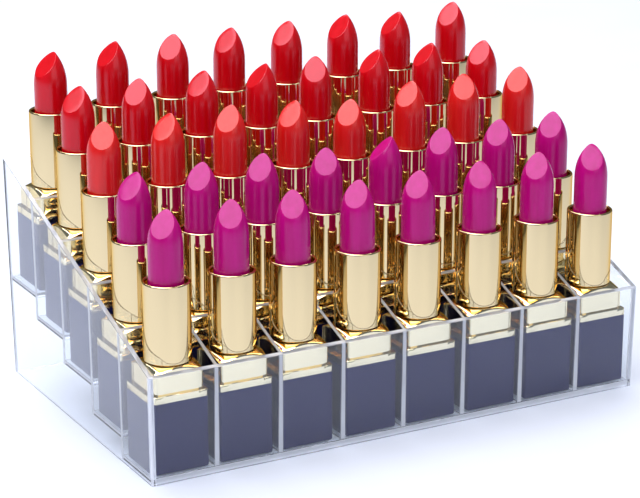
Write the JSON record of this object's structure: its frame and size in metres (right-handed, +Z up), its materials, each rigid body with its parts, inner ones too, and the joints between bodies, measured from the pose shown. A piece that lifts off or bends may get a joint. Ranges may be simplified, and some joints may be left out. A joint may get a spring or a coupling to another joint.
{
  "type": "vanity organizer",
  "caption": "Clear stepped organizer with rows of square pockets, each holding a twist-up lipstick that lifts out; the front row's sleeves turn to wind the bullets down.",
  "frame": {"origin": "middle of the rack's outline at table level", "axes": "+X along the front from left to right, +Y towards the high back, +Z up"},
  "size_m": [0.2062, 0.131, 0.131],
  "materials": {
    "clear_acrylic": "clear polished moulded acrylic",
    "navy_plastic": "satin moulded plastic",
    "gold_metal": "polished gold anodised aluminium",
    "magenta_wax": "satin lipstick wax",
    "magenta_lipstick": "lipstick of several finishes, named for its wax",
    "coral_lipstick": "lipstick of several finishes, named for its wax",
    "red_lipstick": "lipstick of several finishes, named for its wax"
  },
  "bodies": {
    "rack": {"side_panels": "clear_acrylic", "cross_walls": "clear_acrylic", "pocket_floors": "clear_acrylic", "column_dividers": "clear_acrylic"},
    "lipstick_1_1": {"lipstick_1_1_base": "navy_plastic"},
    "lipstick_1_1_sleeve": {"lipstick_1_1_sleeve": "gold_metal"},
    "lipstick_1_1_bullet": {"lipstick_1_1_bullet": "magenta_wax"},
    "lipstick_1_2": {"lipstick_1_2_base": "navy_plastic"},
    "lipstick_1_2_sleeve": {"lipstick_1_2_sleeve": "gold_metal"},
    "lipstick_1_2_bullet": {"lipstick_1_2_bullet": "magenta_wax"},
    "lipstick_1_3": {"lipstick_1_3_base": "navy_plastic"},
    "lipstick_1_3_sleeve": {"lipstick_1_3_sleeve": "gold_metal"},
    "lipstick_1_3_bullet": {"lipstick_1_3_bullet": "magenta_wax"},
    "lipstick_1_4": {"lipstick_1_4_base": "navy_plastic"},
    "lipstick_1_4_sleeve": {"lipstick_1_4_sleeve": "gold_metal"},
    "lipstick_1_4_bullet": {"lipstick_1_4_bullet": "magenta_wax"},
    "lipstick_1_5": {"lipstick_1_5_base": "navy_plastic"},
    "lipstick_1_5_sleeve": {"lipstick_1_5_sleeve": "gold_metal"},
    "lipstick_1_5_bullet": {"lipstick_1_5_bullet": "magenta_wax"},
    "lipstick_1_6": {"lipstick_1_6_base": "navy_plastic"},
    "lipstick_1_6_sleeve": {"lipstick_1_6_sleeve": "gold_metal"},
    "lipstick_1_6_bullet": {"lipstick_1_6_bullet": "magenta_wax"},
    "lipstick_1_7": {"lipstick_1_7_base": "navy_plastic"},
    "lipstick_1_7_sleeve": {"lipstick_1_7_sleeve": "gold_metal"},
    "lipstick_1_7_bullet": {"lipstick_1_7_bullet": "magenta_wax"},
    "lipstick_1_8": {"lipstick_1_8_base": "navy_plastic"},
    "lipstick_1_8_sleeve": {"lipstick_1_8_sleeve": "gold_metal"},
    "lipstick_1_8_bullet": {"lipstick_1_8_bullet": "magenta_wax"},
    "lipstick_2_1": {"lipstick_2_1": "magenta_lipstick"},
    "lipstick_2_2": {"lipstick_2_2": "magenta_lipstick"},
    "lipstick_2_3": {"lipstick_2_3": "magenta_lipstick"},
    "lipstick_2_4": {"lipstick_2_4": "magenta_lipstick"},
    "lipstick_2_5": {"lipstick_2_5": "magenta_lipstick"},
    "lipstick_2_6": {"lipstick_2_6": "magenta_lipstick"},
    "lipstick_2_7": {"lipstick_2_7": "magenta_lipstick"},
    "lipstick_2_8": {"lipstick_2_8": "magenta_lipstick"},
    "lipstick_3_1": {"lipstick_3_1": "coral_lipstick"},
    "lipstick_3_2": {"lipstick_3_2": "coral_lipstick"},
    "lipstick_3_3": {"lipstick_3_3": "coral_lipstick"},
    "lipstick_3_4": {"lipstick_3_4": "coral_lipstick"},
    "lipstick_3_5": {"lipstick_3_5": "coral_lipstick"},
    "lipstick_3_6": {"lipstick_3_6": "coral_lipstick"},
    "lipstick_3_7": {"lipstick_3_7": "coral_lipstick"},
    "lipstick_3_8": {"lipstick_3_8": "coral_lipstick"},
    "lipstick_4_1": {"lipstick_4_1": "red_lipstick"},
    "lipstick_4_2": {"lipstick_4_2": "red_lipstick"},
    "lipstick_4_3": {"lipstick_4_3": "red_lipstick"},
    "lipstick_4_4": {"lipstick_4_4": "red_lipstick"},
    "lipstick_4_5": {"lipstick_4_5": "red_lipstick"},
    "lipstick_4_6": {"lipstick_4_6": "red_lipstick"},
    "lipstick_4_7": {"lipstick_4_7": "red_lipstick"},
    "lipstick_4_8": {"lipstick_4_8": "red_lipstick"},
    "lipstick_5_1": {"lipstick_5_1": "red_lipstick"},
    "lipstick_5_2": {"lipstick_5_2": "red_lipstick"},
    "lipstick_5_3": {"lipstick_5_3": "red_lipstick"},
    "lipstick_5_4": {"lipstick_5_4": "red_lipstick"},
    "lipstick_5_5": {"lipstick_5_5": "red_lipstick"},
    "lipstick_5_6": {"lipstick_5_6": "red_lipstick"},
    "lipstick_5_7": {"lipstick_5_7": "red_lipstick"},
    "lipstick_5_8": {"lipstick_5_8": "red_lipstick"}
  },
  "joints": [
    {"name": "twist_1_1", "type": "hinge", "parent": "lipstick_1_1", "child": "lipstick_1_1_sleeve", "pos_m": [-0.0889, -0.05171, 0.0415], "axis": [0, 0, 1], "range_deg": [0, 420]},
    {"name": "twist_1_2", "type": "hinge", "parent": "lipstick_1_2", "child": "lipstick_1_2_sleeve", "pos_m": [-0.0635, -0.05171, 0.0415], "axis": [0, 0, 1], "range_deg": [0, 420]},
    {"name": "twist_1_3", "type": "hinge", "parent": "lipstick_1_3", "child": "lipstick_1_3_sleeve", "pos_m": [-0.03911, -0.05171, 0.0415], "axis": [0, 0, 1], "range_deg": [0, 420]},
    {"name": "twist_1_4", "type": "hinge", "parent": "lipstick_1_4", "child": "lipstick_1_4_sleeve", "pos_m": [-0.0127, -0.05171, 0.0415], "axis": [0, 0, 1], "range_deg": [0, 420]},
    {"name": "twist_1_5", "type": "hinge", "parent": "lipstick_1_5", "child": "lipstick_1_5_sleeve", "pos_m": [0.0127, -0.05171, 0.0415], "axis": [0, 0, 1], "range_deg": [0, 420]},
    {"name": "twist_1_6", "type": "hinge", "parent": "lipstick_1_6", "child": "lipstick_1_6_sleeve", "pos_m": [0.03911, -0.05171, 0.0415], "axis": [0, 0, 1], "range_deg": [0, 420]},
    {"name": "twist_1_7", "type": "hinge", "parent": "lipstick_1_7", "child": "lipstick_1_7_sleeve", "pos_m": [0.06452, -0.05171, 0.0415], "axis": [0, 0, 1], "range_deg": [0, 420]},
    {"name": "twist_1_8", "type": "hinge", "parent": "lipstick_1_8", "child": "lipstick_1_8_sleeve", "pos_m": [0.0889, -0.05171, 0.0415], "axis": [0, 0, 1], "range_deg": [0, 420]},
    {"name": "lift_1_1", "type": "slide", "parent": "rack", "child": "lipstick_1_1", "axis": [0, 0, 1], "range_m": [0, 0.05]},
    {"name": "lift_1_2", "type": "slide", "parent": "rack", "child": "lipstick_1_2", "axis": [0, 0, 1], "range_m": [0, 0.05]},
    {"name": "lift_1_3", "type": "slide", "parent": "rack", "child": "lipstick_1_3", "axis": [0, 0, 1], "range_m": [0, 0.05]},
    {"name": "lift_1_4", "type": "slide", "parent": "rack", "child": "lipstick_1_4", "axis": [0, 0, 1], "range_m": [0, 0.05]},
    {"name": "lift_1_5", "type": "slide", "parent": "rack", "child": "lipstick_1_5", "axis": [0, 0, 1], "range_m": [0, 0.05]},
    {"name": "lift_1_6", "type": "slide", "parent": "rack", "child": "lipstick_1_6", "axis": [0, 0, 1], "range_m": [0, 0.05]},
    {"name": "lift_1_7", "type": "slide", "parent": "rack", "child": "lipstick_1_7", "axis": [0, 0, 1], "range_m": [0, 0.05]},
    {"name": "lift_1_8", "type": "slide", "parent": "rack", "child": "lipstick_1_8", "axis": [0, 0, 1], "range_m": [0, 0.05]},
    {"name": "lift_2_1", "type": "slide", "parent": "rack", "child": "lipstick_2_1", "axis": [0, 0, 1], "range_m": [0, 0.05]},
    {"name": "lift_2_2", "type": "slide", "parent": "rack", "child": "lipstick_2_2", "axis": [0, 0, 1], "range_m": [0, 0.05]},
    {"name": "lift_2_3", "type": "slide", "parent": "rack", "child": "lipstick_2_3", "axis": [0, 0, 1], "range_m": [0, 0.05]},
    {"name": "lift_2_4", "type": "slide", "parent": "rack", "child": "lipstick_2_4", "axis": [0, 0, 1], "range_m": [0, 0.05]},
    {"name": "lift_2_5", "type": "slide", "parent": "rack", "child": "lipstick_2_5", "axis": [0, 0, 1], "range_m": [0, 0.05]},
    {"name": "lift_2_6", "type": "slide", "parent": "rack", "child": "lipstick_2_6", "axis": [0, 0, 1], "range_m": [0, 0.05]},
    {"name": "lift_2_7", "type": "slide", "parent": "rack", "child": "lipstick_2_7", "axis": [0, 0, 1], "range_m": [0, 0.05]},
    {"name": "lift_2_8", "type": "slide", "parent": "rack", "child": "lipstick_2_8", "axis": [0, 0, 1], "range_m": [0, 0.05]},
    {"name": "lift_3_1", "type": "slide", "parent": "rack", "child": "lipstick_3_1", "axis": [0, 0, 1], "range_m": [0, 0.05]},
    {"name": "lift_3_2", "type": "slide", "parent": "rack", "child": "lipstick_3_2", "axis": [0, 0, 1], "range_m": [0, 0.05]},
    {"name": "lift_3_3", "type": "slide", "parent": "rack", "child": "lipstick_3_3", "axis": [0, 0, 1], "range_m": [0, 0.05]},
    {"name": "lift_3_4", "type": "slide", "parent": "rack", "child": "lipstick_3_4", "axis": [0, 0, 1], "range_m": [0, 0.05]},
    {"name": "lift_3_5", "type": "slide", "parent": "rack", "child": "lipstick_3_5", "axis": [0, 0, 1], "range_m": [0, 0.05]},
    {"name": "lift_3_6", "type": "slide", "parent": "rack", "child": "lipstick_3_6", "axis": [0, 0, 1], "range_m": [0, 0.05]},
    {"name": "lift_3_7", "type": "slide", "parent": "rack", "child": "lipstick_3_7", "axis": [0, 0, 1], "range_m": [0, 0.05]},
    {"name": "lift_3_8", "type": "slide", "parent": "rack", "child": "lipstick_3_8", "axis": [0, 0, 1], "range_m": [0, 0.05]},
    {"name": "lift_4_1", "type": "slide", "parent": "rack", "child": "lipstick_4_1", "axis": [0, 0, 1], "range_m": [0, 0.05]},
    {"name": "lift_4_2", "type": "slide", "parent": "rack", "child": "lipstick_4_2", "axis": [0, 0, 1], "range_m": [0, 0.05]},
    {"name": "lift_4_3", "type": "slide", "parent": "rack", "child": "lipstick_4_3", "axis": [0, 0, 1], "range_m": [0, 0.05]},
    {"name": "lift_4_4", "type": "slide", "parent": "rack", "child": "lipstick_4_4", "axis": [0, 0, 1], "range_m": [0, 0.05]},
    {"name": "lift_4_5", "type": "slide", "parent": "rack", "child": "lipstick_4_5", "axis": [0, 0, 1], "range_m": [0, 0.05]},
    {"name": "lift_4_6", "type": "slide", "parent": "rack", "child": "lipstick_4_6", "axis": [0, 0, 1], "range_m": [0, 0.05]},
    {"name": "lift_4_7", "type": "slide", "parent": "rack", "child": "lipstick_4_7", "axis": [0, 0, 1], "range_m": [0, 0.05]},
    {"name": "lift_4_8", "type": "slide", "parent": "rack", "child": "lipstick_4_8", "axis": [0, 0, 1], "range_m": [0, 0.05]},
    {"name": "lift_5_1", "type": "slide", "parent": "rack", "child": "lipstick_5_1", "axis": [0, 0, 1], "range_m": [0, 0.05]},
    {"name": "lift_5_2", "type": "slide", "parent": "rack", "child": "lipstick_5_2", "axis": [0, 0, 1], "range_m": [0, 0.05]},
    {"name": "lift_5_3", "type": "slide", "parent": "rack", "child": "lipstick_5_3", "axis": [0, 0, 1], "range_m": [0, 0.05]},
    {"name": "lift_5_4", "type": "slide", "parent": "rack", "child": "lipstick_5_4", "axis": [0, 0, 1], "range_m": [0, 0.05]},
    {"name": "lift_5_5", "type": "slide", "parent": "rack", "child": "lipstick_5_5", "axis": [0, 0, 1], "range_m": [0, 0.05]},
    {"name": "lift_5_6", "type": "slide", "parent": "rack", "child": "lipstick_5_6", "axis": [0, 0, 1], "range_m": [0, 0.05]},
    {"name": "lift_5_7", "type": "slide", "parent": "rack", "child": "lipstick_5_7", "axis": [0, 0, 1], "range_m": [0, 0.05]},
    {"name": "lift_5_8", "type": "slide", "parent": "rack", "child": "lipstick_5_8", "axis": [0, 0, 1], "range_m": [0, 0.05]},
    {"name": "wind_1_1", "type": "slide", "parent": "lipstick_1_1", "child": "lipstick_1_1_bullet", "axis": [0, 0, 1], "range_m": [-0.026, 0]},
    {"name": "wind_1_2", "type": "slide", "parent": "lipstick_1_2", "child": "lipstick_1_2_bullet", "axis": [0, 0, 1], "range_m": [-0.026, 0]},
    {"name": "wind_1_3", "type": "slide", "parent": "lipstick_1_3", "child": "lipstick_1_3_bullet", "axis": [0, 0, 1], "range_m": [-0.026, 0]},
    {"name": "wind_1_4", "type": "slide", "parent": "lipstick_1_4", "child": "lipstick_1_4_bullet", "axis": [0, 0, 1], "range_m": [-0.026, 0]},
    {"name": "wind_1_5", "type": "slide", "parent": "lipstick_1_5", "child": "lipstick_1_5_bullet", "axis": [0, 0, 1], "range_m": [-0.026, 0]},
    {"name": "wind_1_6", "type": "slide", "parent": "lipstick_1_6", "child": "lipstick_1_6_bullet", "axis": [0, 0, 1], "range_m": [-0.026, 0]},
    {"name": "wind_1_7", "type": "slide", "parent": "lipstick_1_7", "child": "lipstick_1_7_bullet", "axis": [0, 0, 1], "range_m": [-0.026, 0]},
    {"name": "wind_1_8", "type": "slide", "parent": "lipstick_1_8", "child": "lipstick_1_8_bullet", "axis": [0, 0, 1], "range_m": [-0.026, 0]}
  ],
  "couplings": [
    {"joint": "wind_1_1", "follows": "twist_1_1", "m_per_rad": -0.003546},
    {"joint": "wind_1_2", "follows": "twist_1_2", "m_per_rad": -0.003546},
    {"joint": "wind_1_3", "follows": "twist_1_3", "m_per_rad": -0.003546},
    {"joint": "wind_1_4", "follows": "twist_1_4", "m_per_rad": -0.003546},
    {"joint": "wind_1_5", "follows": "twist_1_5", "m_per_rad": -0.003546},
    {"joint": "wind_1_6", "follows": "twist_1_6", "m_per_rad": -0.003546},
    {"joint": "wind_1_7", "follows": "twist_1_7", "m_per_rad": -0.003546},
    {"joint": "wind_1_8", "follows": "twist_1_8", "m_per_rad": -0.003546}
  ]
}
